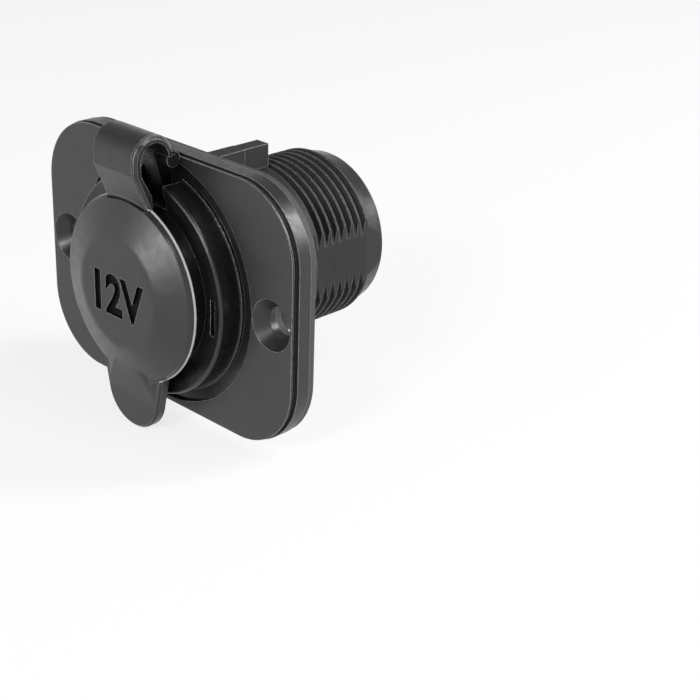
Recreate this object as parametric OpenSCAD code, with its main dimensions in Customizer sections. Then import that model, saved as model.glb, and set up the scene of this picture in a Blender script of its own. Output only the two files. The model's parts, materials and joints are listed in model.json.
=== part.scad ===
// Panel-mounted 12 V power socket with a flip cap.
// The front faces -Y, +X is right as seen from the front, and +Z is up.
// The origin is the centre of the gasket's back face, on the axis of the barrel.

/* [Flange plate] */
// Width of the plate
plate_w = 58.0; // [57.6:0.1:70]
// Height of the plate
plate_h = 41.8; // [41.6:0.1:50]
// Radius of the plate's corners
plate_corner_r = 11.7; // [8:0.1:18]
// Thickness of the plate
plate_t = 3.3; // [3.0:0.1:5]
// Width of the front lip of the plate's edge
lip_t = 0.35; // [0.2:0.05:0.6]
// Set-back of the front lip from the plate's ends
lip_end_inset = 0.45; // [0.1:0.05:0.5]
// Set-back of the front lip from the plate's top and bottom
lip_side_inset = 0.2; // [0.05:0.05:0.3]
// Width of the groove behind the lip
groove_w = 0.65; // [0.3:0.05:0.8]
// Depth of the groove below the lip
groove_depth = 0.3; // [0.1:0.05:0.35]
// Distance from the plate's ends in to the screw holes
screw_edge = 4.8; // [4.6:0.1:5.2]
// Radius of the screw holes
screw_r = 2.4; // [1.5:0.1:2.8]
// Radius of the countersinks at the front face
sink_r = 4.0; // [3.2:0.1:4.1]
// Depth of the countersinks
sink_depth = 1.9; // [1:0.1:2.6]
// Depth of the round recess that the body's rim lies in
recess_depth = 2.0; // [1.6:0.1:2.4]
// Gap around the body's rim in its recess
recess_gap = 0.15; // [0.1:0.05:0.2]
// Gap around the barrel in the plate
barrel_gap = 0.25; // [0.1:0.05:0.4]

/* [Gasket] */
// Thickness of the gasket
gasket_t = 1.0; // [0.5:0.1:2]
// Set-back of the gasket from the plate's outline
gasket_inset = 0.1; // [0:0.05:0.5]
// Gap around the barrel in the gasket
gasket_gap = 0.4; // [0.2:0.05:0.6]

/* [Socket body] */
// Radius of the rim that lies in the plate
rim_r = 19.85; // [18.6:0.05:20]
// Thickness of the rim
rim_t = 1.4; // [1:0.1:1.9]
// Radius of the foot ring round the collar
foot_r = 17.95; // [17.8:0.05:18.4]
// Height of the foot ring
foot_h = 0.6; // [0.3:0.1:1]
// Radius of the collar
collar_r = 17.65; // [16.6:0.05:17.75]
// Height of the collar above the rim
collar_h = 4.4; // [3.4:0.1:5]
// Radius of the collar's front edge
collar_edge = 0.45; // [0.2:0.05:0.6]
// Depth of the dish inside the collar
dish_depth = 0.9; // [0.4:0.1:1.4]
// Radius of the neck round the mouth
neck_r = 13.2; // [13.1:0.05:13.8]
// Rounding of the neck's front edge
neck_edge = 0.15; // [0.1:0.05:0.3]
// Height of the mouth above the collar
mouth_h = 2.1; // [1.6:0.1:3]
// Half width of the hinge gap in the collar
hinge_gap_half = 4.7; // [4.2:0.1:5.4]
// Width of the two slots in the dish
slot_w = 1.3; // [0.8:0.1:1.6]
// Length of the two slots in the dish
slot_len = 5.7; // [3:0.1:7]
// Distance of the slots from the axis
slot_x = 15.25; // [15:0.05:15.8]
// Height of the slots' middle below the axis
slot_drop = 0.85; // [0:0.05:1.5]
// Depth of the slots below the dish
slot_depth = 0.9; // [0.4:0.1:1.5]

/* [Barrel] */
// Radius of the barrel and of the thread's crests
barrel_r = 14.2; // [14:0.05:14.6]
// Length of the barrel behind the panel face
barrel_len = 31.6; // [31:0.1:36]
// Place of the thread's first crest
thread_y = 15.7; // [15.4:0.1:16]
// Pitch of the thread
thread_pitch = 1.65; // [1.4:0.05:1.7]
// Number of thread grooves
thread_grooves = 7; // [4:1:7]
// Depth of the thread
thread_depth = 0.85; // [0.4:0.05:1.0]
// Width of a crest
crest_w = 0.35; // [0.2:0.05:0.5]
// Width of a groove's bottom
root_w = 0.5; // [0.3:0.05:0.7]
// Distance across the two flats
flats_w = 25.9; // [25.6:0.1:27]
// Place where the flats begin
flats_y = 15.0; // [14:0.1:15.2]
// Radius of the plain end behind the thread
end_r = 13.6; // [13.4:0.05:13.9]
// Radius of the barrel's rear edge
end_edge = 1.0; // [0.5:0.1:1.2]
// Taper of the plain end, on its radius
end_taper = 0.4; // [0.1:0.05:0.4]

/* [Key rib] */
// Width of the key rib
rib_w = 2.9; // [2:0.1:4]
// Height of the key rib's top above the axis
rib_top = 17.9; // [15.5:0.1:18.2]
// Length of the key rib behind the panel face
rib_len = 16.3; // [13:0.1:22]
// Place of the step in the key rib
rib_step_y = 11.2; // [6:0.1:12]
// Height of the step on each side of the key rib
rib_step = 0.15; // [0.05:0.05:0.3]
// Gap round the key rib in the plate
rib_gap = 0.2; // [0.1:0.05:0.3]

/* [Contact cup] */
// Inside radius of the contact cup
well_r = 10.7; // [10.4:0.05:10.8]
// Wall of the contact cup
cup_t = 0.4; // [0.3:0.05:0.5]
// Distance from the barrel's rear end forward to the contact cup's floor
floor_inset = 4.4; // [4:0.1:6]
// Width of the contact cup's lip
cup_lip = 0.65; // [0.3:0.05:0.7]
// Depth of the lip below the mouth
lip_drop = 1.9; // [1.8:0.1:3]
// Inside radius of the contact cup's corner
cup_corner = 1.1; // [0.9:0.1:1.2]
// Depth of the dimple in the contact cup's floor
dimple_depth = 1.2; // [1.1:0.1:1.3]
// Gap round the contact cup
cup_gap = 0.1; // [0.05:0.05:0.15]

/* [Terminals] */
// Radius of the centre contact's head
button_r = 3.2; // [2.6:0.1:3.8]
// Height of the centre contact's head
button_h = 1.3; // [0.8:0.1:1.8]
// Radius of the rivets' shanks
rivet_r = 1.0; // [0.8:0.05:1.1]
// Radius of the rivets' tails
tail_r = 1.7; // [1.4:0.05:1.8]
// Height of the rivets' tails
tail_h = 0.7; // [0.4:0.05:1]
// Radius of the insulator's flange
bush_r = 4.2; // [4.0:0.1:4.8]
// Thickness of the insulator's flange
bush_t = 0.8; // [0.5:0.1:1.2]
// Radius of the insulator's spigot
spigot_r = 2.0; // [1.8:0.1:2.4]
// Length of the insulator's spigot
spigot_len = 1.2; // [0.8:0.1:1.6]
// Thickness of the terminal board
board_t = 2.7; // [2.6:0.1:3]
// Radius of the terminal board
board_r = 11.5; // [11.35:0.05:11.6]
// Gap round the terminal board and the rivets
fit_gap = 0.05; // [0.03:0.01:0.08]
// Height of the barrier between the terminals
barrier_h = 1.2; // [0.5:0.1:2]
// Width of the barrier between the terminals
barrier_w = 12.6; // [8:0.1:14]
// Thickness of the barrier between the terminals
barrier_t = 0.4; // [0.3:0.05:0.6]
// Width of the terminal blades
blade_w = 6.3; // [4.8:0.1:6.4]
// Thickness of the terminal blades
blade_t = 0.8; // [0.5:0.05:0.8]
// Length of the terminal blades behind the board
blade_len = 8.5; // [7:0.1:9]
// Width of the bevels at the tip of each blade
blade_tip = 1.25; // [0.5:0.05:1.5]
// Radius of the hole in each blade
blade_hole_r = 0.85; // [0.5:0.05:1]
// Distance of the hole in each blade behind the board
blade_hole_len = 5.1; // [4:0.1:6]
// Height of the negative rivet below the axis
negative_drop = 7.6; // [7.2:0.1:7.8]
// Thickness of the washer under the centre rivet's tail
washer_t = 0.3; // [0.2:0.05:0.5]

/* [Cap] */
// Radius of the cap's rim
cap_r = 14.93; // [14.4:0.05:15.4]
// Height of the cap's rim
cap_rim_h = 1.1; // [0.8:0.1:1.6]
// Taper of the cap's rim
cap_rim_taper = 0.43; // [0.1:0.05:0.6]
// Rounding of the cap's front edge
cap_edge = 0.35; // [0.2:0.05:0.5]
// Chamfer of the cap's rear edge
cap_back_edge = 0.15; // [0.1:0.05:0.3]
// Radius of the flat disc in the cap's middle
dome_r = 8.75; // [6:0.1:10]
// Height of the cap's dome above its rim
dome_h = 1.9; // [1:0.1:2.5]
// Gap between the cap and the mouth
cap_gap = 0.15; // [0.05:0.05:0.3]
// Gap between the cap's skirt and the contact cup
skirt_gap = 1.3; // [1.2:0.1:2]
// Wall of the cap's skirt
skirt_wall = 1.5; // [1:0.1:2]
// Reach of the cap's skirt into the mouth
skirt_reach = 1.6; // [0.8:0.1:1.7]
// Chamfer of the skirt's end
skirt_chamfer = 0.4; // [0.2:0.05:0.6]
// Radius of the tongue's round end
tongue_r = 6.2; // [4.5:0.1:6.4]
// Distance of the tongue's tip from the axis
tongue_reach = 23.3; // [21:0.1:26]
// Thickness of the tongue
tongue_t = 1.6; // [1.3:0.1:2]
// Set-back of the tongue's face behind the cap's front edge
tongue_drop = 0.5; // [0.1:0.05:0.6]
// Bevel round the tongue's face
tongue_edge = 0.4; // [0.2:0.05:0.6]
// Gap between the tongue and the neck of the mouth
tongue_gap = 0.3; // [0.3:0.05:0.6]
// Half width of the tongue's root
tongue_root = 7.4; // [6.5:0.1:8.5]
// Distance of the tongue's root from the axis
tongue_start = 11.9; // [11:0.1:12.4]
// Half width of the blend where it leaves the dome
blend_half = 3.0; // [1:0.1:4]
// Distance from the axis where the blend leaves the dome
blend_start = 12.6; // [11:0.1:13.4]
// Distance from the axis where the blend meets the tongue's face
blend_end = 17.4; // [16:0.1:19]
// Inner radius of the seal
seal_r = 12.05; // [12:0.05:12.15]
// Width of the seal
seal_w = 0.95; // [0.7:0.05:1]
// Depth of the seal's groove
seal_groove = 0.7; // [0.4:0.1:1]
// Gap between the seal and its neighbours
seal_gap = 0.05; // [0.03:0.01:0.08]

/* [Hinge] */
// Half width of the arm between its creases
arm_half = 4.6; // [4:0.1:5.4]
// Bevel along the arm's edges
arm_bevel = 0.6; // [0.3:0.05:0.8]
// Outer radius of the arm's arch
arch_r = 3.8; // [3.4:0.1:4]
// Wall of the arch
arch_wall = 1.15; // [0.9:0.05:1.4]
// Distance from the hinge pin forward to the arch's centre
arch_forward = 3.95; // [3.7:0.05:4.2]
// Height of the arch's centre above the hinge pin
arch_rise = 0.7; // [0.5:0.05:1.2]
// Height of the straight stretch under the arch
leg_drop = 1.9; // [1.2:0.1:2.4]
// Lean of the straight stretch under the arch
leg_lean = 0.1; // [0.05:0.05:0.3]
// Depth of the arm's foot in the cap's rim
foot_sink = 1.0; // [0.8:0.1:1.4]
// Radius of the hinge pin
pin_r = 0.6; // [0.5:0.05:0.7]
// Height of the plate's top edge above the hinge pin
pin_drop = 0.2; // [0:0.1:0.5]
// Gap round the pin in the knuckles
pin_gap = 0.05; // [0.02:0.01:0.08]
// Gap round the pin in its lug
pin_seat_gap = 0.01; // [0.01:0.01:0.02]
// Radius of the knuckles and of the lug's eye
knuckle_r = 1.25; // [1.1:0.05:1.4]
// Gap between the knuckles and the plate
knuckle_gap = 0.3; // [0.3:0.05:0.6]
// Half width of the lug
lug_half = 1.6; // [1.2:0.1:2]
// Gap beside and round the lug
lug_gap = 0.3; // [0.25:0.05:0.5]
// Wall that closes the right knuckle
knuckle_end = 0.9; // [0.5:0.1:1.2]

/* [Hidden] */
$fn = 96;
arc_steps = 5;
overcut = 1;

plate_front_y = -gasket_t - plate_t;
recess_y = plate_front_y + recess_depth;
rim_front_y = recess_y - rim_t;
collar_y = rim_front_y - collar_h;
dish_y = collar_y + dish_depth;
mouth_y = collar_y - mouth_h;

cup_front_y = mouth_y + lip_drop;
floor_y = barrel_len - floor_inset;
board_y = floor_y + cup_t + fit_gap;
board_back_y = board_y + board_t;
foot_back_y = board_back_y + blade_t;
dimple_y = floor_y + dimple_depth;
dimple_r = bush_r + fit_gap;
bush_y = dimple_y - bush_t;
button_y = bush_y - button_h;
cup_r = well_r + cup_t;
thread_end_y = thread_y + thread_grooves * thread_pitch;

cap_back_y = mouth_y - cap_gap;
cap_edge_y = cap_back_y - cap_back_edge - cap_rim_h;
cap_front_y = cap_edge_y - dome_h;
cap_front_r = cap_r - cap_rim_taper;
skirt_r = well_r - skirt_gap;
skirt_y = mouth_y + skirt_reach;
tongue_z = -tongue_reach + tongue_r;

pin_y = plate_front_y - knuckle_gap - knuckle_r;
pin_z = plate_h / 2 - pin_drop;
arch_y = pin_y - arch_forward;
arch_z = pin_z + arch_rise;
arch_in_r = arch_r - arch_wall;
arm_edge = arm_half + arm_bevel;

// Points of a round corner about (c, d), from angle a to angle b
function corner(c, d, r, a, b) = [for (i = [0:arc_steps])
    let (t = a + (b - a) * i / arc_steps) [c + r * cos(t), d + r * sin(t)]];

// A flat outline in X and Z, drawn from y0 back to y1
module slab(y0, y1) {
    translate([0, y1, 0]) rotate([90, 0, 0]) linear_extrude(y1 - y0) children();
}

// A profile of radius and Y, turned about the axis of the barrel
module turned() {
    rotate([-90, 0, 0]) rotate_extrude() children();
}

// A rod along Y at height z
module rod(r, y0, y1, z = 0) {
    translate([0, y0, z]) rotate([-90, 0, 0]) cylinder(r = r, h = y1 - y0);
}

// A rod across the part, from x0 to x1
module cross_rod(r, x0, x1, y, z) {
    translate([x0, y, z]) rotate([0, 90, 0]) cylinder(r = r, h = x1 - x0);
}

// An outline in Y and Z, drawn across the part to half the width on each side
module across(half) {
    rotate([90, 0, 90]) translate([0, 0, -half]) linear_extrude(2 * half) children();
}

// The plate's outline, set back at the ends and at the top and bottom
module plate_outline(end_inset = 0, side_inset = 0) {
    r = plate_corner_r - end_inset;
    w = plate_w / 2 - end_inset;
    h = plate_h / 2 - side_inset;
    square([2 * w, 2 * (h - r)], center = true);
    square([2 * (w - r), 2 * h], center = true);
    for (x = [-1, 1], z = [-1, 1]) translate([x * (w - r), z * (h - r)]) circle(r);
}

// The hole for the barrel and its key rib
module barrel_hole(gap) {
    circle(barrel_r + gap);
    translate([-rib_w / 2 - gap, 0]) square([rib_w + 2 * gap, rib_top + rib_gap]);
}

module screw_places() {
    for (x = [-1, 1]) translate([x * (plate_w / 2 - screw_edge), 0, 0]) children();
}

module flange_plate() {
    lip_back = plate_front_y + lip_t;
    groove_back = lip_back + groove_w;
    color([0.10, 0.10, 0.11]) difference() {
        union() {
            slab(plate_front_y, lip_back) plate_outline(lip_end_inset, lip_side_inset);
            slab(lip_back, groove_back)
                plate_outline(lip_end_inset + groove_depth, lip_side_inset + groove_depth);
            slab(groove_back, -gasket_t) plate_outline();
        }
        rod(rim_r + recess_gap, plate_front_y - overcut, recess_y);
        slab(plate_front_y, overcut) barrel_hole(barrel_gap);
        screw_places() {
            rod(screw_r, plate_front_y - overcut, overcut);
            translate([0, plate_front_y, 0]) rotate([-90, 0, 0])
                cylinder(r1 = sink_r, r2 = screw_r, h = sink_depth);
        }
    }
}

module flange_gasket() {
    color([0.13, 0.13, 0.14]) difference() {
        slab(-gasket_t, 0) plate_outline(gasket_inset, gasket_inset);
        slab(-gasket_t - overcut, overcut) barrel_hole(gasket_gap);
        screw_places() rod(screw_r, -gasket_t - overcut, overcut);
    }
}

// One thread groove, as points down into the root and up again
function groove(k) = let (c = thread_y + thread_pitch * (k + 0.5), top = (thread_pitch - crest_w) / 2)
    [[barrel_r, c - top], [barrel_r - thread_depth, c - root_w / 2],
     [barrel_r - thread_depth, c + root_w / 2], [barrel_r, c + top]];

// The body's outer form from the mouth to the rear end
module body_profile() {
    step_y = thread_end_y + crest_w / 2;
    end_top = end_r - end_taper;
    polygon(concat(
        [[0, mouth_y]],
        corner(neck_r - neck_edge, mouth_y + neck_edge, neck_edge, -90, 0),
        [[neck_r, dish_y]],
        corner(collar_r - collar_edge, collar_y + collar_edge, collar_edge, -90, 0),
        [[collar_r, rim_front_y - foot_h], [foot_r, rim_front_y - foot_h], [foot_r, rim_front_y]],
        [[rim_r, rim_front_y], [rim_r, recess_y], [barrel_r, recess_y]],
        [for (k = [0:thread_grooves - 1]) each groove(k)],
        [[barrel_r, step_y], [end_r, step_y + barrel_r - end_r]],
        corner(end_top - end_edge, barrel_len - end_edge, end_edge, 0, 90),
        [[0, barrel_len]]
    ));
}

// The key rib, with a thinner rear stretch
module key_rib() {
    slab(recess_y, rib_step_y) translate([-rib_w / 2, well_r + cup_t + cup_gap])
        square([rib_w, rib_top - well_r - cup_t - cup_gap]);
    slab(rib_step_y, rib_len) translate([-rib_w / 2 + rib_step, well_r + cup_t + cup_gap])
        square([rib_w - 2 * rib_step, rib_top - well_r - cup_t - cup_gap]);
}

// The lug that carries the hinge pin, rising from the rim inside the collar's gap
module hinge_lug() {
    foot_z = neck_r + 2 * lug_gap;
    across(lug_half) {
        translate([pin_y, pin_z]) circle(knuckle_r);
        polygon([[rim_front_y, foot_z], [rim_front_y - knuckle_r, foot_z],
            [pin_y - knuckle_r, pin_z], [pin_y + knuckle_r, pin_z], [rim_front_y, rim_r - knuckle_gap]]);
    }
}

module socket_body() {
    color([0.09, 0.09, 0.10]) difference() {
        union() {
            difference() {
                union() {
                    turned() body_profile();
                    key_rib();
                }
                slab(collar_y - overcut, rim_front_y) translate([-hinge_gap_half, neck_r])
                    square([2 * hinge_gap_half, rim_r]);
                for (x = [-1, 1]) {
                    slab(flats_y, barrel_len + overcut) translate([x * (flats_w / 2 + barrel_r / 2), 0])
                        square([barrel_r, 2 * barrel_r], center = true);
                    slab(collar_y - overcut, dish_y + slot_depth - dish_depth / 2)
                        translate([x * slot_x, -slot_drop]) square([slot_w, slot_len], center = true);
                }
            }
            hinge_lug();
        }
        rod(cup_r + cup_gap, mouth_y - overcut, barrel_len + overcut);
        rod(cup_r + cup_lip + cup_gap, mouth_y - overcut, cup_front_y + cup_t);
        rod(board_r + cup_gap, board_y - fit_gap, barrel_len + overcut);
        cross_rod(pin_r + pin_seat_gap, -arm_edge, arm_edge, pin_y, pin_z);
    }
}

module contact_cup() {
    color([0.72, 0.71, 0.68]) difference() {
        turned() polygon(concat(
            [[well_r, cup_front_y], [cup_r + cup_lip, cup_front_y]],
            [[cup_r + cup_lip, cup_front_y + cup_t], [cup_r, cup_front_y + cup_t]],
            corner(well_r - cup_corner, floor_y - cup_corner, cup_corner + cup_t, 0, 90),
            [[dimple_r + cup_t, floor_y + cup_t], [dimple_r + cup_t, dimple_y + cup_t]],
            [[0, dimple_y + cup_t], [0, dimple_y], [dimple_r, dimple_y], [dimple_r, floor_y]],
            corner(well_r - cup_corner, floor_y - cup_corner, cup_corner, 90, 0)
        ));
        rod(spigot_r + fit_gap, floor_y, board_back_y);
        rod(rivet_r + fit_gap, floor_y - overcut, board_y, -negative_drop);
    }
}

module centre_insulator() {
    color([0.55, 0.16, 0.10]) difference() {
        union() {
            rod(bush_r, bush_y, dimple_y);
            rod(spigot_r, dimple_y, dimple_y + spigot_len);
        }
        rod(rivet_r + fit_gap, bush_y - overcut, board_back_y);
    }
}

// A rivet with a domed head from y0 to y1 and a flattened tail behind y2
module rivet(head_r, y0, y1, y2, z = 0) {
    dome = (y1 - y0) / 2;
    translate([0, 0, z]) turned() polygon(concat(
        [[0, y0]],
        corner(head_r - dome, y0 + dome, dome, -90, 0),
        [[head_r, y1], [rivet_r, y1], [rivet_r, y2], [tail_r, y2]],
        corner(tail_r - tail_h / 2, y2 + tail_h / 2, tail_h / 2, 0, 90),
        [[0, y2 + tail_h]]
    ));
}

module centre_contact() {
    color([0.78, 0.77, 0.72]) rivet(button_r, button_y, bush_y, foot_back_y + washer_t);
}

module contact_washer() {
    color([0.70, 0.70, 0.72]) difference() {
        rod(tail_r + 2 * fit_gap, foot_back_y, foot_back_y + washer_t);
        rod(rivet_r + fit_gap, board_back_y, foot_back_y + overcut);
    }
}

module negative_rivet() {
    color([0.78, 0.77, 0.72]) rivet(tail_r, floor_y - tail_h, floor_y, foot_back_y, -negative_drop);
}

module terminal_board() {
    barrier_z = (blade_t - negative_drop) / 2;
    color([0.30, 0.17, 0.10]) difference() {
        union() {
            rod(board_r, board_y, board_back_y);
            slab(board_back_y, board_back_y + barrier_h) translate([0, barrier_z])
                square([barrier_w, barrier_t], center = true);
        }
        rod(rivet_r + fit_gap, board_y - overcut, board_back_y + overcut);
        rod(dimple_r + cup_t + fit_gap, board_y - overcut, dimple_y + cup_t + fit_gap);
        rod(spigot_r + fit_gap, board_y - overcut, dimple_y + spigot_len + fit_gap);
        rod(rivet_r + fit_gap, board_y - overcut, board_back_y + overcut, -negative_drop);
    }
}

// A blade terminal: a foot round its rivet at height z and a blade turned back above the tail
module blade_terminal(z) {
    foot_low = z - tail_r - blade_t;
    blade_z = z + tail_r + blade_t;
    tip_y = board_back_y + blade_len;
    difference() {
        union() {
            slab(board_back_y, foot_back_y) translate([-blade_w / 2, foot_low])
                square([blade_w, blade_z + blade_t - foot_low]);
            translate([0, 0, blade_z]) linear_extrude(blade_t) polygon([
                [-blade_w / 2, board_back_y], [blade_w / 2, board_back_y],
                [blade_w / 2, tip_y - blade_tip], [blade_w / 2 - blade_tip, tip_y],
                [blade_tip - blade_w / 2, tip_y], [-blade_w / 2, tip_y - blade_tip]]);
        }
        rod(rivet_r + fit_gap, board_back_y - overcut, foot_back_y + overcut, z);
        translate([0, board_back_y + blade_hole_len, blade_z - overcut])
            cylinder(r = blade_hole_r, h = blade_t + 2 * overcut);
    }
}

module positive_terminal() {
    color([0.80, 0.70, 0.40]) blade_terminal(0);
}

module negative_terminal() {
    color([0.75, 0.75, 0.74]) blade_terminal(-negative_drop);
}

// The cap's disc, with its dome outside and its skirt inside
module cap_disc() {
    edge_angle = atan2(dome_h, cap_front_r - cap_edge - dome_r) - 90;
    turned() polygon(concat(
        [[0, cap_front_y], [dome_r, cap_front_y]],
        corner(cap_front_r - cap_edge, cap_edge_y + cap_edge, cap_edge, edge_angle, 0),
        [[cap_r, cap_back_y - cap_back_edge], [cap_r - cap_back_edge, cap_back_y]],
        [[skirt_r, cap_back_y], [skirt_r, skirt_y - skirt_chamfer], [skirt_r - skirt_chamfer, skirt_y]],
        [[skirt_r - skirt_wall, skirt_y], [skirt_r - skirt_wall, cap_edge_y], [0, cap_edge_y]]
    ));
}

// The finger tongue's outline, set back by an inset
module tongue_outline(inset = 0) {
    r = tongue_r - inset;
    root = tongue_root - inset;
    translate([0, tongue_z]) circle(r, $fn = 48);
    polygon([[-root, -tongue_start], [root, -tongue_start], [r, tongue_z], [-r, tongue_z]]);
}

// The finger tongue, with a bevel round its face and a soft blend from the dome to its middle
module tongue() {
    face_y = cap_edge_y + tongue_drop;
    blend_y = cap_front_y + dome_h * (blend_start - dome_r) / (cap_front_r - cap_edge - dome_r);
    difference() {
        hull() {
            slab(face_y, face_y + tongue_edge) tongue_outline(tongue_edge);
            slab(face_y + tongue_edge, face_y + tongue_t) tongue_outline();
        }
        rod(neck_r + tongue_gap, cap_back_y, face_y + tongue_t + overcut);
    }
    hull() {
        slab(blend_y, cap_edge_y) translate([-blend_half, -blend_start])
            square([2 * blend_half, blend_start - tongue_start]);
        slab(face_y, cap_back_y) translate([tongue_edge - tongue_r, -blend_end])
            square([2 * (tongue_r - tongue_edge), blend_end - tongue_start]);
    }
}

// A stretch of the arm's front leg: its outline in Y and Z, with the front corners bevelled
module leg(front, back) {
    hull() {
        across(arm_half) polygon(concat(front, back));
        across(arm_edge) polygon(concat([for (p = front) p + [arm_bevel, 0]], back));
    }
}

// The arm from the cap's rim over the arch to the hinge
module hinge_arm() {
    arch_front = [arch_y - arch_r, arch_z];
    bend_front = [arch_y - arch_r + leg_lean, arch_z - leg_drop];
    bend_back = bend_front + [arch_wall + leg_lean, -2 * leg_lean];
    foot_z = cap_front_r - foot_sink;
    translate([0, arch_y, arch_z]) rotate([90, 0, 90]) rotate_extrude(angle = 180) polygon([
        [arch_in_r, -arm_edge], [arch_r - arm_bevel, -arm_edge], [arch_r, -arm_half],
        [arch_r, arm_half], [arch_r - arm_bevel, arm_edge], [arch_in_r, arm_edge]]);
    leg([arch_front, bend_front], [bend_back, arch_front + [arch_wall, 0]]);
    leg([bend_front, [cap_back_y - arm_bevel, foot_z]],
        [[cap_back_y, foot_z], [cap_back_y - cap_back_edge, cap_r + arch_wall], bend_back]);
}

module cap() {
    color([0.11, 0.11, 0.12]) difference() {
        union() {
            cap_disc();
            tongue();
            hinge_arm();
            cross_rod(knuckle_r, -arm_half, arm_half, pin_y, pin_z);
        }
        cross_rod(knuckle_r + lug_gap, -lug_half - lug_gap, lug_half + lug_gap, pin_y, pin_z);
        cross_rod(pin_r + pin_gap, -arm_edge - overcut, arm_half - knuckle_end, pin_y, pin_z);
        turned() translate([seal_r, cap_back_y - seal_groove]) square([seal_w, seal_groove + overcut]);
    }
}

module cap_seal() {
    color([0.06, 0.06, 0.06]) turned() translate([seal_r + seal_gap, cap_back_y - seal_groove + seal_gap])
        square([seal_w - 2 * seal_gap, seal_groove + cap_gap - 2 * seal_gap]);
}

module hinge_pin() {
    color([0.75, 0.75, 0.76])
        cross_rod(pin_r, -arm_half + pin_gap, arm_half - knuckle_end - pin_gap, pin_y, pin_z);
}

flange_plate();
flange_gasket();
socket_body();
cap();
cap_seal();
hinge_pin();
contact_cup();
centre_insulator();
centre_contact();
contact_washer();
terminal_board();
positive_terminal();
negative_terminal();
negative_rivet();
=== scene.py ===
"""Looks of a panel-mounted 12 V power socket with a flip cap, laid out as a Blender add-on."""

import json
import math

import bmesh
import bpy
from mathutils import Matrix, Vector


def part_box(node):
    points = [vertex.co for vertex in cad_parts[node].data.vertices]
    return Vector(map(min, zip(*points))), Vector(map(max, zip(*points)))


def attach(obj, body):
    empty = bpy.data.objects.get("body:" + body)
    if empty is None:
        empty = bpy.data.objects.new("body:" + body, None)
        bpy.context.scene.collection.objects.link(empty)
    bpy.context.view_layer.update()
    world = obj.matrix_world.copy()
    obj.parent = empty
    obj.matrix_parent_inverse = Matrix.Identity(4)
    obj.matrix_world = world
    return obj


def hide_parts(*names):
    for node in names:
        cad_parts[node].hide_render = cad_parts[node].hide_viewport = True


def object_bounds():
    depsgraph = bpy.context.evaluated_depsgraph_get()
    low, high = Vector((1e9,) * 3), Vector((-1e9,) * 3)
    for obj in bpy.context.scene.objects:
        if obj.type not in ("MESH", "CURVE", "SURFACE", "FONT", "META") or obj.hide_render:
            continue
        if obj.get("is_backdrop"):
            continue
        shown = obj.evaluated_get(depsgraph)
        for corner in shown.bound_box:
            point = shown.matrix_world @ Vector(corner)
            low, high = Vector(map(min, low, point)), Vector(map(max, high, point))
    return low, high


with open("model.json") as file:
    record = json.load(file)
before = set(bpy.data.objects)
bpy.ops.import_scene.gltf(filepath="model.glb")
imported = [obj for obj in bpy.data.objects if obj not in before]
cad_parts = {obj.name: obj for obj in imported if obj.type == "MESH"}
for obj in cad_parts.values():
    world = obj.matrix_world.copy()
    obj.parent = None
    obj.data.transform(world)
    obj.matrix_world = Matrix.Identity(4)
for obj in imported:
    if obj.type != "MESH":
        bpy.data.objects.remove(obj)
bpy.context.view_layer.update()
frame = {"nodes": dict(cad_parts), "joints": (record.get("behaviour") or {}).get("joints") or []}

bl_info = {
    "name": "Panel power socket",
    "version": (1, 0, 0),
    "blender": (4, 5, 0),
    "location": "3D View > Sidebar > Power Socket",
    "description": "Dresses the solids of a panel-mounted power socket and lights them",
    "category": "Object",
}

MM = 0.001
FLIP_CAP = "cap"


# Settings that a user would change


class PlasticSettings(bpy.types.PropertyGroup):
    """Finish of the black moulded plastics"""

    plate_colour: bpy.props.FloatVectorProperty(
        name="Plate colour", description="Colour of the mounting plate",
        subtype="COLOR", size=3, min=0, max=1, default=(0.016, 0.016, 0.017))
    body_colour: bpy.props.FloatVectorProperty(
        name="Body colour", description="Colour of the collar and the barrel",
        subtype="COLOR", size=3, min=0, max=1, default=(0.006, 0.006, 0.0065))
    cap_colour: bpy.props.FloatVectorProperty(
        name="Cap colour", description="Colour of the flip cap",
        subtype="COLOR", size=3, min=0, max=1, default=(0.014, 0.015, 0.015))
    # Light colour on the exposed edges: partly wear, partly painted highlight standing in for
    # glints
    wear_and_highlight_colour: bpy.props.FloatVectorProperty(
        name="Edges", description="Colour of the rubbed edges", subtype="COLOR",
        size=3, min=0, max=1, default=(0.42, 0.42, 0.43))
    grain_size: bpy.props.FloatProperty(
        name="Grain size", description="Width of one grain of the moulded texture",
        unit="LENGTH", min=0.00005, max=0.002, default=0.00030)
    grain_height: bpy.props.FloatProperty(
        name="Grain height", description="Height of the moulded texture",
        unit="LENGTH", min=0, max=0.0002, default=0.000006)
    edge_radius: bpy.props.FloatProperty(
        name="Edge radius", description="Rounding that the light sees along the edges",
        unit="LENGTH", min=0, max=0.001, default=0.00020)
    rim_softness: bpy.props.FloatProperty(
        name="Rim softness", description="Rounding between the cap's flat face and its slope",
        unit="LENGTH", min=0.0001, max=0.0015, default=0.0006)
    thread_dullness: bpy.props.FloatProperty(
        name="Thread dullness", description="Added roughness of the barrel's thread",
        subtype="FACTOR", min=0, max=0.5, default=0.35)


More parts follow.
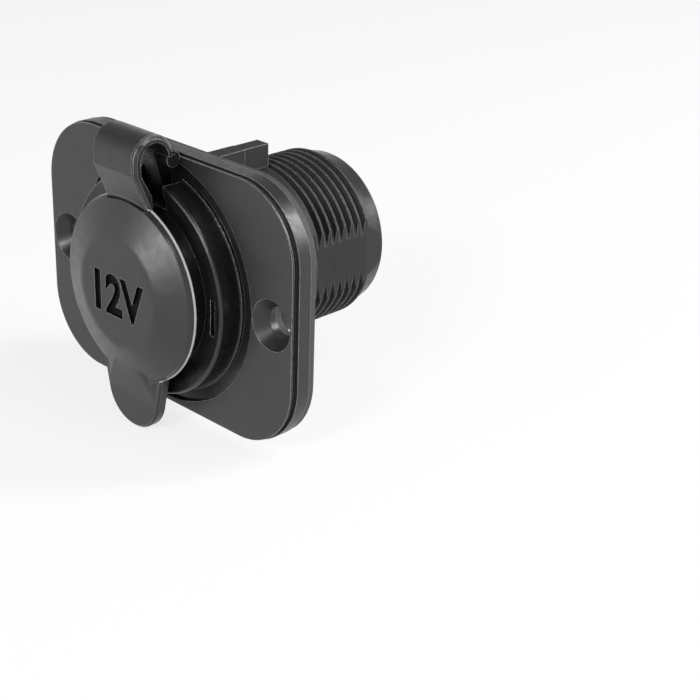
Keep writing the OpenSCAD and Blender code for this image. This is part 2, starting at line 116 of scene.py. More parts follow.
class MetalSettings(bpy.types.PropertyGroup):
    """Finish of the plated and bare metals"""

    nickel_colour: bpy.props.FloatVectorProperty(
        name="Nickel colour", description="Colour of the contact cup and rivets",
        subtype="COLOR", size=3, min=0, max=1, default=(0.66, 0.64, 0.59))
    brass_colour: bpy.props.FloatVectorProperty(
        name="Brass colour", description="Colour of the positive blade",
        subtype="COLOR", size=3, min=0, max=1, default=(0.74, 0.58, 0.30))
    tin_colour: bpy.props.FloatVectorProperty(
        name="Tin colour", description="Colour of the negative blade",
        subtype="COLOR", size=3, min=0, max=1, default=(0.60, 0.60, 0.59))
    steel_colour: bpy.props.FloatVectorProperty(
        name="Steel colour", description="Colour of the hinge pin and the washer",
        subtype="COLOR", size=3, min=0, max=1, default=(0.56, 0.57, 0.58))
    roughness: bpy.props.FloatProperty(
        name="Roughness", description="Mean roughness of the metals",
        subtype="FACTOR", min=0, max=1, default=0.30)


class LiningSettings(bpy.types.PropertyGroup):
    """Colours of the rubber and the phenolic pieces"""

    gasket_colour: bpy.props.FloatVectorProperty(
        name="Gasket colour", description="Colour of the sheet behind the mounting plate",
        subtype="COLOR", size=3, min=0, max=1, default=(0.050, 0.050, 0.054))
    seal_colour: bpy.props.FloatVectorProperty(
        name="Seal colour", description="Colour of the ring in the underside of the cap",
        subtype="COLOR", size=3, min=0, max=1, default=(0.025, 0.025, 0.026))
    bush_colour: bpy.props.FloatVectorProperty(
        name="Bush colour", description="Colour of the bush under the centre contact",
        subtype="COLOR", size=3, min=0, max=1, default=(0.24, 0.055, 0.030))
    board_colour: bpy.props.FloatVectorProperty(
        name="Board colour", description="Colour of the board that carries the blades",
        subtype="COLOR", size=3, min=0, max=1, default=(0.16, 0.070, 0.030))


class RatingSettings(bpy.types.PropertyGroup):
    """The plain rating sunk into the cap"""

    text: bpy.props.StringProperty(
        name="Rating", description="Voltage sunk into the cap", default="12V")
    height: bpy.props.FloatProperty(
        name="Height", description="Height of the figures",
        unit="LENGTH", min=0.002, max=0.008, default=0.0068)
    width: bpy.props.FloatProperty(
        name="Width", description="Width of the whole rating",
        unit="LENGTH", min=0.004, max=0.014, default=0.0119)
    weight: bpy.props.FloatProperty(
        name="Weight", description="Thickening of the strokes as a share of the type size",
        min=0, max=0.1, default=0.045)
    depth: bpy.props.FloatProperty(
        name="Depth", description="Depth of the figures below the cap's face",
        unit="LENGTH", min=0.0001, max=0.0012, default=0.0008)
    shift_x: bpy.props.FloatProperty(
        name="Shift to the right", description="Place of the rating's middle from the axis",
        unit="LENGTH", min=-0.003, max=0.003, default=0.0005)
    shift_z: bpy.props.FloatProperty(
        name="Shift up", description="Height of the rating's middle above the axis",
        unit="LENGTH", min=-0.003, max=0.003, default=-0.0006)


class ArmSettings(bpy.types.PropertyGroup):
    """The creases along the arm of the flip cap"""

    half_width: bpy.props.FloatProperty(
        name="Half width", description="Distance of the creases from the arm's middle",
        unit="LENGTH", min=0.003, max=0.006, default=0.0046)
    arch_forward: bpy.props.FloatProperty(
        name="Arch forward", description="Distance from the hinge pin forward to the arch's axis",
        unit="LENGTH", min=0.002, max=0.006, default=0.00395)
    arch_rise: bpy.props.FloatProperty(
        name="Arch rise", description="Height of the arch's axis above the hinge pin",
        unit="LENGTH", min=0, max=0.002, default=0.0007)
    straight: bpy.props.FloatProperty(
        name="Straight", description="Length of the upright stretch below the arch",
        unit="LENGTH", min=0.001, max=0.003, default=0.0019)
    foot_height: bpy.props.FloatProperty(
        name="Foot height", description="Height of the arm's foot above the barrel's axis",
        unit="LENGTH", min=0.012, max=0.015, default=0.0135)
    foot_back: bpy.props.FloatProperty(
        name="Foot back", description="Distance from the arch's front back to the arm's foot",
        unit="LENGTH", min=0.001, max=0.004, default=0.00265)
    crease_width: bpy.props.FloatProperty(
        name="Crease width", description="Width of the creases",
        unit="LENGTH", min=0.0001, max=0.0005, default=0.00022)
    crease_depth: bpy.props.FloatProperty(
        name="Crease depth", description="Depth of the creases",
        unit="LENGTH", min=0.0001, max=0.0004, default=0.0002)


class StageSettings(bpy.types.PropertyGroup):
    """Camera, floor and lamps"""

    eye: bpy.props.FloatVectorProperty(
        name="Eye", description="Place of the camera in the part's frame",
        subtype="XYZ", unit="LENGTH", size=3, default=(0.17393, -0.14548, 0.09158))
    azimuth: bpy.props.FloatProperty(
        name="Azimuth", description="Turn of the camera to the right of the front",
        subtype="ANGLE", default=math.radians(43.454))
    elevation: bpy.props.FloatProperty(
        name="Elevation", description="Tilt of the camera down from the level",
        subtype="ANGLE", default=math.radians(24.812))
    roll: bpy.props.FloatProperty(
        name="Roll", description="Turn of the camera about its own line of sight",
        subtype="ANGLE", default=math.radians(2.015))
    lens: bpy.props.FloatProperty(
        name="Lens", description="Focal length in millimetres on a 36 mm sensor",
        min=20, max=200, default=79.71)
    floor_colour: bpy.props.FloatVectorProperty(
        name="Floor colour", description="Colour of the floor under the part",
        subtype="COLOR", size=3, min=0, max=1, default=(0.82, 0.82, 0.82))
    room_light: bpy.props.FloatProperty(
        name="Room light", description="Strength of the room's light on matt surfaces",
        min=0, max=1, default=0.4)
    ceiling: bpy.props.FloatProperty(
        name="Ceiling", description="Brightness overhead as a share of that at the horizon",
        subtype="FACTOR", min=0, max=1, default=0.15)
    whitening: bpy.props.FloatProperty(
        name="Whitening", description="Share of plain white in what the camera sees of the floor",
        subtype="FACTOR", min=0, max=1, default=0.8)
    back_power: bpy.props.FloatProperty(
        name="Back lamp", description="Power of the lamp behind on the right",
        unit="POWER", min=0, max=100, default=3.4)
    side_power: bpy.props.FloatProperty(
        name="Side lamp", description="Power of the lamp above on the right",
        unit="POWER", min=0, max=100, default=1.5)
    front_power: bpy.props.FloatProperty(
        name="Front lamp", description="Power of the lamp in front on the right",
        unit="POWER", min=0, max=100, default=2.2)
    low_power: bpy.props.FloatProperty(
        name="Low lamp", description="Power of the low lamp in front on the left",
        unit="POWER", min=0, max=100, default=1.0)


SETTINGS = {
    "plastic": PlasticSettings,
    "metal": MetalSettings,
    "lining": LiningSettings,
    "rating": RatingSettings,
    "arm": ArmSettings,
    "stage": StageSettings,
}


def settings(group):
    """The scene's settings of one group, by its name in SETTINGS"""
    return getattr(bpy.context.scene, "socket_" + group)


# Materials

# Wear on the edges, painted light as a highlight along them: the cosine of the normal's turn, and
# the openness to the outside, at which it starts and is full
WEAR_AND_HIGHLIGHT_TURN = {"start": 0.995, "stop": 0.80}
WEAR_AND_HIGHLIGHT_OPEN = {"start": 0.64, "stop": 0.80}
SHELTER_REACH = 0.6 * MM
EDGE_SAMPLES = 10
SHELTER_SAMPLES = 6
EDGE_POLISH = 0.10

# The painted highlight on the front edge of a round piece: how far its middle faces forward, the
# differences from that at which it starts and is full, and its reach inside and outside the edge
RIM_FACING = 0.60
RIM_FADE = {"start": 0.36, "stop": 0.18}
RIM_HIGHLIGHT = 0.9
RIM_WIDTH = 0.17 * MM
RIM_MARGIN = 0.05 * MM

# The range in which most of a noise lies
NOISE_MIDDLE = (0.3, 0.7)

# Marks on the plastics, and the dust
FLOW_MARK = 6.0 * MM
FLOW_MARK_HEIGHT = 0.04 * MM
SCUFF = 1.6 * MM
FLECK = 0.3 * MM
DUST_CELLS = 260.0
DUST_SIZE = {"start": 0.022, "stop": 0.012}
DUST_COVER = 0.5
DUST_COLOUR = (0.35, 0.35, 0.36)
DULL_FADE = 0.1 * MM

# Marks on the other materials, and how much finer the fibres are along each axis
RUBBER_PIT = 0.5 * MM
RUBBER_PIT_DEPTH = 0.03 * MM
DRAW_LINE = 0.4 * MM
METAL_PATCH = 4.0 * MM
FIBRE = 1.2 * MM
FIBRE_FINENESS = (1, 1, 6)
FINE_MARK_DEPTH = 0.01 * MM

# Fineness of the draw lines along each axis, where they run along the pin, the cup and the blades
PIN_LINES = (1, 12, 12)
CUP_LINES = (8, 1, 8)
BLADE_LINES = (10, 1, 10)


def node_maker(tree):
    """Empties a node tree and returns a function that adds nodes with their values and links"""
    tree.nodes.clear()

    def add(kind, values=(), sources=(), **options):
        node = tree.nodes.new(kind)
        for option, value in options.items():
            setattr(node, option, value)
        for socket, value in dict(values).items():
            node.inputs[socket].default_value = value
        for socket, source in dict(sources).items():
            tree.links.new(source, node.inputs[socket])
        return node

    return add


def new_material(name):
    """An empty node material with its shader, and a function that adds linked nodes to it"""
    material = bpy.data.materials.new(name)
    material.use_nodes = True
    add = node_maker(material.node_tree)
    shader = add("ShaderNodeBsdfPrincipled")
    add("ShaderNodeOutputMaterial", sources={"Surface": shader.outputs["BSDF"]})
    return material, shader, add


def finish(shader, colour, roughness, normal):
    """Links the three sockets that give a surface its look"""
    links = shader.id_data.links
    links.new(colour, shader.inputs["Base Color"])
    links.new(roughness, shader.inputs["Roughness"])
    links.new(normal, shader.inputs["Normal"])


def maths(add, operation, *operands):
    """The result of an operation on sockets and plain numbers"""
    numbers = {}
    sockets = {}
    for index, operand in enumerate(operands):
        group = sockets if isinstance(operand, bpy.types.NodeSocket) else numbers
        group[index] = operand
    return add("ShaderNodeMath", numbers, sockets, operation=operation).outputs["Value"]


def ranged(add, source, start, stop, low=0.0, high=1.0):
    """The source, stretched so that start becomes low and stop becomes high"""
    return add("ShaderNodeMapRange",
               {"From Min": start, "From Max": stop, "To Min": low, "To Max": high},
               {"Value": source}).outputs["Result"]


def spread(add, noise, low=0.0, high=1.0):
    """Noise, stretched from its middle range to low and high"""
    return ranged(add, noise, *NOISE_MIDDLE, low, high)


def noise_at(add, place, size, detail=2.0):
    """Noise whose features are about size wide, in metres"""
    return add("ShaderNodeTexNoise", {"Scale": 1 / size, "Detail": detail},
               {"Vector": place}).outputs["Fac"]


def mixed(add, share, first, second):
    """Two colours, each a socket or three numbers, mixed by the share of the second"""
    mix = add("ShaderNodeMix", sources={"Factor": share}, data_type="RGBA")
    for socket, colour in (("A", first), ("B", second)):
        if isinstance(colour, bpy.types.NodeSocket):
            mix.id_data.links.new(colour, mix.inputs[socket])
        else:
            mix.inputs[socket].default_value = (*colour, 1)
    return mix.outputs["Result"]


def mottled(add, share, colour, darker, lighter):
    """The colour, from its darker to its lighter multiple by the share"""
    return mixed(add, share, [c * darker for c in colour], [min(1, c * lighter) for c in colour])


def bumped(add, height, depth, strength=1.0, base=None):
    """The normal of bumps of the depth, on top of the base normal if one is given"""
    sources = {"Height": height}
    if base is not None:
        sources["Normal"] = base
    return add("ShaderNodeBump", {"Strength": strength, "Distance": depth},
               sources).outputs["Normal"]


def seen_directly(add):
    """1 for rays from the camera, from mirrors and through glass, else 0"""
    path = add("ShaderNodeLightPath").outputs
    seen = maths(add, "MAXIMUM", path["Is Camera Ray"], path["Is Glossy Ray"])
    return maths(add, "MAXIMUM", seen, path["Is Transmission Ray"])


def edge_mask_for_wear_and_highlight(add, radius):
    """The normal with rounded edges, and 1 on the exposed edges for wear and painted highlight"""
    rounded = add("ShaderNodeBevel", {"Radius": radius}, samples=EDGE_SAMPLES).outputs["Normal"]
    flat = add("ShaderNodeNewGeometry").outputs["Normal"]
    facing = add("ShaderNodeVectorMath", sources={0: rounded, 1: flat}, operation="DOT_PRODUCT")
    edge = ranged(add, facing.outputs["Value"], **WEAR_AND_HIGHLIGHT_TURN)
    shelter = add("ShaderNodeAmbientOcclusion", {"Distance": SHELTER_REACH},
                  samples=SHELTER_SAMPLES)
    exposed = ranged(add, shelter.outputs["AO"], **WEAR_AND_HIGHLIGHT_OPEN)
    return rounded, maths(add, "MULTIPLY", edge, exposed)


def painted_rim_highlight(add, place, outer):
    """A painted highlight on the rounding of the round front edge of the outer radius, fading
    beside it
    """
    normal = add("ShaderNodeTexCoord").outputs["Normal"]
    facing = add("ShaderNodeSeparateXYZ", sources={"Vector": normal}).outputs["Y"]
    away = maths(add, "ABSOLUTE", maths(add, "ADD", facing, RIM_FACING))
    rounding = ranged(add, away, **RIM_FADE, high=RIM_HIGHLIGHT)
    across = add("ShaderNodeVectorMath", {1: (1, 0, 1)}, {0: place}, operation="MULTIPLY")
    length = add("ShaderNodeVectorMath", sources={0: across.outputs["Vector"]}, operation="LENGTH")
    reach = length.outputs["Value"]
    within = maths(add, "LESS_THAN", reach, outer + RIM_MARGIN)
    beyond = maths(add, "GREATER_THAN", reach, outer - RIM_WIDTH)
    return maths(add, "MULTIPLY", maths(add, "MULTIPLY", within, beyond), rounding)


def dulled(add, place, span, amount):
    """The amount between the two Y of the span, else 0"""
    centre = sum(span) / 2
    reach = span[1] - centre
    depth = add("ShaderNodeSeparateXYZ", sources={"Vector": place}).outputs["Y"]
    away = maths(add, "ABSOLUTE", maths(add, "ADD", depth, -centre))
    return ranged(add, away, reach + DULL_FADE, reach, high=amount)


def moulded_plastic(name, colour, roughness, grain=1.0, shine=0.5, dull_span=None, rim=None):
    """Black moulded plastic with a fine grain, edge wear with a painted highlight, and a little
    dust

    It is duller between the two Y of dull_span, and has a painted highlight along a round front
    edge of the radius rim.
    """
    look = settings("plastic")
    material, shader, add = new_material(name)
    place = add("ShaderNodeTexCoord").outputs["Object"]
    flow = noise_at(add, place, FLOW_MARK, detail=3.0)
    rounded, edge = edge_mask_for_wear_and_highlight(add, look.edge_radius)

    body = mottled(add, spread(add, flow), colour, darker=0.88, lighter=1.12)
    cells = add("ShaderNodeTexVoronoi", {"Scale": DUST_CELLS}, {"Vector": place})
    dust = ranged(add, cells.outputs["Distance"], **DUST_SIZE, high=DUST_COVER)
    dusted = mixed(add, dust, body, DUST_COLOUR)
    # Light edge colour, partly wear and partly painted highlight, plus a painted highlight on the
    # rim
    flecks = spread(add, noise_at(add, place, FLECK), low=0.25)
    rubbed_and_highlit = maths(add, "MULTIPLY", edge, flecks)
    if rim is not None:
        rubbed_and_highlit = maths(add, "MAXIMUM", rubbed_and_highlit, painted_rim_highlight(add, place, rim))
    worn_and_highlit = mixed(add, rubbed_and_highlit, dusted, look.wear_and_highlight_colour)

    scuffs = noise_at(add, place, SCUFF, detail=6.0)
    matt = spread(add, scuffs, low=roughness - 0.05, high=roughness + 0.07)
    rough = maths(add, "SUBTRACT", matt, maths(add, "MULTIPLY", edge, EDGE_POLISH))
    if dull_span is not None:
        rough = maths(add, "ADD", rough, dulled(add, place, dull_span, look.thread_dullness))

    grained = bumped(add, noise_at(add, place, look.grain_size), look.grain_height * grain,
                     base=rounded)
    finish(shader, worn_and_highlit, rough, bumped(add, flow, FLOW_MARK_HEIGHT, base=grained))
    shader.inputs["IOR"].default_value = 1.5
    shader.inputs["Specular IOR Level"].default_value = shine
    return material


def sheet_rubber(name, colour):
    """Matt rubber with a pitted surface"""
    material, shader, add = new_material(name)
    place = add("ShaderNodeTexCoord").outputs["Object"]
    pits = noise_at(add, place, RUBBER_PIT, detail=5.0)
    finish(shader, mottled(add, pits, colour, darker=0.75, lighter=1.3),
           spread(add, pits, low=0.62, high=0.80), bumped(add, pits, RUBBER_PIT_DEPTH))
    return material


def worked_metal(name, colour, fineness=(1, 1, 1), roughness=None):
    """Metal with dull patches, and draw lines that are finer along the axes of greater fineness"""
    base = settings("metal").roughness if roughness is None else roughness
    material, shader, add = new_material(name)
    place = add("ShaderNodeTexCoord").outputs["Object"]
    along = add("ShaderNodeMapping", {"Scale": fineness}, {"Vector": place}).outputs["Vector"]
    lines = noise_at(add, along, DRAW_LINE, detail=3.0)
    patches = noise_at(add, place, METAL_PATCH, detail=4.0)
    finish(shader, mottled(add, patches, colour, darker=0.82, lighter=1.08),
           spread(add, patches, low=base - 0.06, high=base + 0.12),
           bumped(add, lines, FINE_MARK_DEPTH, strength=0.6))
    shader.inputs["Metallic"].default_value = 1.0
    return material


def phenolic(name, colour):
    """Pressed phenolic with darker fibres"""
    material, shader, add = new_material(name)
    place = add("ShaderNodeTexCoord").outputs["Object"]
    along = add("ShaderNodeMapping", {"Scale": FIBRE_FINENESS}, {"Vector": place}).outputs["Vector"]
    fibres = noise_at(add, along, FIBRE, detail=6.0)
    finish(shader, mottled(add, spread(add, fibres), colour, darker=0.6, lighter=1.35),
           spread(add, fibres, low=0.38, high=0.55),
           bumped(add, fibres, FINE_MARK_DEPTH, strength=0.8))
    return material


def dress(node, material):
    """Gives a CAD node its material"""
    slots = frame["nodes"][node].data.materials
    slots.clear()
    slots.append(material)


# The engraved cap

# Distance within which points are welded, and angle within which faces are merged
WELD = 0.001 * MM
LEVEL = math.radians(0.05)

# Steps of the rounded rim, of the figures' curves and of the creases over the arch
RIM_STEPS = 4
FIGURE_STEPS = 8
ARCH_STEPS = 32

# How far the cutters stand out of the cap's face and of the arm
RATING_CLEAR = 1.0 * MM
CREASE_CLEAR = 0.4 * MM

# Y of the normals of the cap's flat face and of the slope round it
FLAT_FACING = -0.9999
SLOPE_FACING = (-0.999, -0.85)

# Distances from the axis within which the flat face's rim, its points and the figures lie
RIM_WITHIN = 10 * MM
FACE_WITHIN = 9 * MM
FIGURES_WITHIN = 8 * MM

# Half the height of the band across the cap in which its radius is found
MIDDLE_BAND = 3 * MM

# Angles past which an edge stays sharp, and the height below which the tongue has its own
SHARP_PAST = math.radians(16)
TONGUE_SHARP_PAST = math.radians(40)
TONGUE_BELOW = -12 * MM

# The hollows with painted shade: how far a face in the arch looks to its axis, how far from the
# hinge pin the knuckles reach, the slack above and below the figures' depth, and the painted shade
# as a share of the cap's colour
ARCH_INWARD = 0.1 * MM
KNUCKLE_REACH = 1.6 * MM
FIGURE_TOP_SLACK = 0.02 * MM
FIGURE_FLOOR_SLACK = 0.05 * MM
HOLLOW_SHADE = 0.5


def placed(name, data):
    """A new object with the data, in the scene"""
    thing = bpy.data.objects.new(name, data)
    bpy.context.scene.collection.objects.link(thing)
    return thing


def smooth_by_angle(mesh, limit_at):
    """Smooth faces with sharp edges past the angle that limit_at gives for the edge's middle"""
    form = bmesh.new()
    form.from_mesh(mesh)
    for face in form.faces:
        face.smooth = True
    for edge in form.edges:
        middle = (edge.verts[0].co + edge.verts[1].co) / 2
        edge.smooth = not edge.is_manifold or edge.calc_face_angle(0) < limit_at(middle)
    form.to_mesh(mesh)
    form.free()


def merged_copy(node, name, is_soft, softness):
    """A welded copy of a CAD node's mesh as a new object, rounded along the edges that are soft"""
    mesh = frame["nodes"][node].data.copy()
    mesh.name = name
    if mesh.has_custom_normals:
        mesh.attributes.remove(mesh.attributes["custom_normal"])
    form = bmesh.new()
    form.from_mesh(mesh)
    bmesh.ops.remove_doubles(form, verts=form.verts[:], dist=WELD)
    bmesh.ops.dissolve_limit(form, angle_limit=LEVEL, verts=form.verts[:], edges=form.edges[:])
    form.normal_update()
    bmesh.ops.bevel(form, geom=[edge for edge in form.edges if is_soft(edge)], offset=softness,
                    offset_type="OFFSET", segments=RIM_STEPS, profile=0.5, affect="EDGES",
                    material=-1)
    bmesh.ops.triangulate(form, faces=[f for f in form.faces if len(f.verts) > 4])
    bmesh.ops.recalc_face_normals(form, faces=form.faces[:])
    form.to_mesh(mesh)
    form.free()
    return placed(name, mesh)


def evaluated_mesh(thing):
    """A new mesh of an object as it stands, with its curves or modifiers worked out"""
    bpy.context.view_layer.update()
    depsgraph = bpy.context.evaluated_depsgraph_get()
    return bpy.data.meshes.new_from_object(thing.evaluated_get(depsgraph))


def rating_cutter(front):
    """The rating as a solid that reaches from before the cap's face to its full depth"""
    look = settings("rating")
    curve = bpy.data.curves.new("rating_text", "FONT")
    curve.body = look.text
    curve.resolution_u = FIGURE_STEPS
    curve.extrude = 1.0
    curve.offset = look.weight
    text = placed("rating_text", curve)
    mesh = evaluated_mesh(text)
    bpy.data.objects.remove(text)
    corners = [v.co for v in mesh.vertices]
    low = Vector([min(c[i] for c in corners) for i in range(3)])
    high = Vector([max(c[i] for c in corners) for i in range(3)])
    reach = look.depth + RATING_CLEAR
    scale = Matrix.Diagonal((look.width / (high.x - low.x), look.height / (high.y - low.y),
                             reach / (high.z - low.z), 1))
    centre = Matrix.Translation(-(low + high) / 2)
    upright = Matrix.Rotation(math.radians(90), 4, "X")
    place = Matrix.Translation((look.shift_x, front + look.depth - reach / 2, look.shift_z))
    mesh.transform(place @ upright @ scale @ centre)
    form = bmesh.new()
    form.from_mesh(mesh)
    bmesh.ops.remove_doubles(form, verts=form.verts[:], dist=WELD)
    bmesh.ops.recalc_face_normals(form, faces=form.faces[:])
    form.to_mesh(mesh)
    form.free()
    return placed("rating_cutter", mesh)


def pin_axis():
    """Y and Z of the hinge pin"""
    hinge = next(joint for joint in frame["joints"] if joint["name"] == "cap_hinge")
    return hinge["pos_m"][1], hinge["pos_m"][2]


def arch_axis():
    """Y and Z of the axis that the arm's arch bends round, and its outer radius"""
    look = settings("arm")
    pin_y, pin_z = pin_axis()
    z = pin_z + look.arch_rise
    return pin_y - look.arch_forward, z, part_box("cap")[1][2] - z


def crease_cutter(side):
    """A thin rail along one side of the arm, from its foot over the arch, that cuts a crease"""
    look = settings("arm")
    y, z, radius = arch_axis()
    foot_y = y - radius + look.foot_back
    middle = side * look.half_width
    edges = (middle - look.crease_width / 2, middle + look.crease_width / 2)
    sunk = foot_y + look.crease_depth
    clear = foot_y - CREASE_CLEAR
    section = [(x, sunk) for x in edges] + [(x, clear) for x in reversed(edges)]
    form = bmesh.new()
    end = form.faces.new([form.verts.new((*corner, look.foot_height)) for corner in section])
    bend_z = z - look.straight
    for step in ((0, -look.foot_back, bend_z - look.foot_height), (0, 0, look.straight)):
        grown = bmesh.ops.extrude_face_region(form, geom=[end])["geom"]
        end = next(part for part in grown if isinstance(part, bmesh.types.BMFace))
        bmesh.ops.translate(form, vec=step, verts=end.verts[:])
    bmesh.ops.spin(form, geom=[*end.verts, *end.edges, end], cent=(0, y, z), axis=(1, 0, 0),
                   dvec=(0, 0, 0), angle=-math.pi, steps=ARCH_STEPS, use_merge=False)
    bmesh.ops.remove_doubles(form, verts=form.verts[:], dist=WELD)
    inner = [f for f in form.faces if all(len(e.link_faces) > 2 for e in f.edges)]
    bmesh.ops.delete(form, geom=inner, context="FACES_ONLY")
    bmesh.ops.recalc_face_normals(form, faces=form.faces[:])
    mesh = bpy.data.meshes.new("crease_cutter")
    form.to_mesh(mesh)
    form.free()
    return placed("crease_cutter", mesh)


def carve(piece, cutter):
    """Takes the cutter out of the piece and removes it"""
    cut = piece.modifiers.new("cut", "BOOLEAN")
    cut.operation = "DIFFERENCE"
    cut.solver = "EXACT"
    cut.object = cutter
    carved = evaluated_mesh(piece)
    piece.modifiers.remove(cut)
    piece.data = carved
    bpy.data.objects.remove(cutter)


class SOCKET_OT_cap(bpy.types.Operator):
    """Softens the flip cap's rim, carves its rating and creases and gives it its finishes"""

    bl_idname = "socket.cap"
    bl_label = "Flip Cap"

    def execute(self, context):
        look = settings("plastic")
        cap = merged_copy("cap", "cap_engraved", self.is_dish_rim, look.rim_softness)
        front = self.face_of(cap)
        carve(cap, rating_cutter(front))
        for side in (-1, 1):
            carve(cap, crease_cutter(side))
        smooth_by_angle(cap.data, self.sharp_past)
        # The cap's round front edge gets a painted highlight
        outside = moulded_plastic("cap_plastic", look.cap_colour, roughness=0.32,
                                  rim=self.dome_radius(cap))
        # Painted shade: the cap's colour darkened, with little shine, for hollows where light does
        # not reach
        inside = moulded_plastic("cap_inside", [c * HOLLOW_SHADE for c in look.cap_colour],
                                 roughness=0.6, shine=0.05)
        cap.data.materials.clear()
        for material in (outside, inside):
            cap.data.materials.append(material)
        self.paint_hollow_shade(cap.data, front)
        even = cap.modifiers.new("even_faces", "WEIGHTED_NORMAL")
        even.keep_sharp = True
        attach(cap, FLIP_CAP)
        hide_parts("cap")
        dress("cap", outside)
        return {"FINISHED"}

    def is_dish_rim(self, edge):
        """Whether the edge parts the cap's flat face from the gentle slope round it"""
        middle = (edge.verts[0].co + edge.verts[1].co) / 2
        if len(edge.link_faces) != 2 or math.hypot(middle.x, middle.z) > RIM_WITHIN:
            return False
        flat, slope = sorted(face.normal.y for face in edge.link_faces)
        return flat < FLAT_FACING and SLOPE_FACING[0] < slope < SLOPE_FACING[1]

    def sharp_past(self, middle):
        """Angle past which an edge stays sharp, larger where the tongue flows into the cap"""
        return TONGUE_SHARP_PAST if middle.z < TONGUE_BELOW else SHARP_PAST

    def paint_hollow_shade(self, mesh, front):
        """Gives the figures, the knuckles and the inside of the arch a darker, duller material:
        painted shade
        """
        y, z, radius = arch_axis()
        pin_y, pin_z = pin_axis()
        top = front + FIGURE_TOP_SLACK
        floor = front + settings("rating").depth + FIGURE_FLOOR_SLACK
        for face in mesh.polygons:
            centre = face.center
            inward = Vector((0, y - centre.y, z - centre.z))
            in_arch = centre.z > z - 2 * radius and inward.dot(face.normal) > ARCH_INWARD
            by_axis = math.hypot(centre.x, centre.z) < FIGURES_WITHIN
            by_pin = math.hypot(centre.y - pin_y, centre.z - pin_z) < KNUCKLE_REACH
            if in_arch or by_pin or (by_axis and top < centre.y < floor):
                face.material_index = 1

    def dome_radius(self, cap):
        """Radius of the cap's round body, found across its middle"""
        return max(v.co.x for v in cap.data.vertices if abs(v.co.z) < MIDDLE_BAND)

    def face_of(self, cap):
        """Y of the cap's flat face, found round the axis"""
        near = [v.co.y for v in cap.data.vertices if math.hypot(v.co.x, v.co.z) < FACE_WITHIN]
        if not near:
            raise RuntimeError("the cap has no face round its axis")
        return min(near)


class SOCKET_OT_plate(bpy.types.Operator):
    """Gives the mounting plate and its gasket their finishes"""

    bl_idname = "socket.plate"
    bl_label = "Mounting Plate"

    def execute(self, context):
        look = settings("plastic")
        dress("flange_plate", moulded_plastic("plate_plastic", look.plate_colour, roughness=0.36,
                                              grain=1.3))
        dress("flange_gasket", sheet_rubber("gasket_rubber", settings("lining").gasket_colour))
        return {"FINISHED"}


# Length of the barrel behind its thread
PLAIN_END = 4.3 * MM


class SOCKET_OT_body(bpy.types.Operator):
    """Gives the socket body its finish"""

    bl_idname = "socket.body"
    bl_label = "Socket Body"

    def execute(self, context):
        look = settings("plastic")
        behind_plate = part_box("flange_plate")[1][1]
        plain_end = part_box("socket_body")[1][1] - PLAIN_END
        dress("socket_body", moulded_plastic("body_plastic", look.body_colour, roughness=0.30,
                                             dull_span=(behind_plate, plain_end)))
        return {"FINISHED"}


class SOCKET_OT_hinge(bpy.types.Operator):
    """Gives the seal and the hinge pin their finishes"""

    bl_idname = "socket.hinge"
    bl_label = "Seal and Hinge Pin"

    def execute(self, context):
        steel = settings("metal").steel_colour
        dress("cap_seal", sheet_rubber("seal_rubber", settings("lining").seal_colour))
        dress("hinge_pin", worked_metal("pin_steel", steel, PIN_LINES))
        return {"FINISHED"}


class SOCKET_OT_contacts(bpy.types.Operator):
    """Gives the contacts inside the well their finishes"""

    bl_idname = "socket.contacts"
    bl_label = "Contacts"

    def execute(self, context):
        metal = settings("metal")
        dress("contact_cup", worked_metal("cup_nickel", metal.nickel_colour, CUP_LINES))
        dress("centre_contact", worked_metal("button_nickel", metal.nickel_colour, roughness=0.22))
        dress("negative_rivet", worked_metal("rivet_nickel", metal.nickel_colour, roughness=0.26))
        dress("contact_washer", worked_metal("washer_steel", metal.steel_colour))
        dress("centre_insulator", phenolic("bush_phenolic", settings("lining").bush_colour))
        return {"FINISHED"}


class SOCKET_OT_terminals(bpy.types.Operator):
    """Gives the terminal board and the blades their finishes"""

    bl_idname = "socket.terminals"
    bl_label = "Terminals"

    def execute(self, context):
        metal = settings("metal")
        dress("terminal_board", phenolic("board_phenolic", settings("lining").board_colour))
        dress("positive_terminal", worked_metal("blade_brass", metal.brass_colour, BLADE_LINES))
        dress("negative_terminal", worked_metal("blade_tin", metal.tin_colour, BLADE_LINES))
        return {"FINISHED"}


# The stage

# Each lamp's place, and the width and height of its face, in metres
LAMPS = {
    "back": ((0.35, 0.45, 0.31), (0.12, 0.34)),
    "side": ((0.33, 0.07, 0.54), (0.34, 0.08)),
    "front": ((0.20, -0.52, 0.33), (0.12, 0.12)),
    "low": ((-0.14, -0.52, 0.06), (0.20, 0.12)),
}

# Half the floor's width, and the gap between the floor and the part
FLOOR_HALF = 3.0
FLOOR_GAP = 0.05 * MM

# The paper on the floor, and the white that the camera sees
PAPER_ROUGHNESS = 0.9
WHITE = (1, 1, 1, 1)

# Heights, as the sine of the angle above the horizon, between which the room dims
ROOM_DIMS = {"start": 0.1, "stop": 0.8}


def soft_lamp(name, place, size, power):
    """A rectangular lamp at place that shines on the part"""
    lamp = bpy.data.lights.new(name, "AREA")
    lamp.shape = "RECTANGLE"
    lamp.size = size[0]
    lamp.size_y = size[1]
    lamp.energy = power
    holder = placed(name, lamp)
    holder.location = place
    holder.rotation_euler = (-holder.location).to_track_quat("-Z", "Y").to_euler()


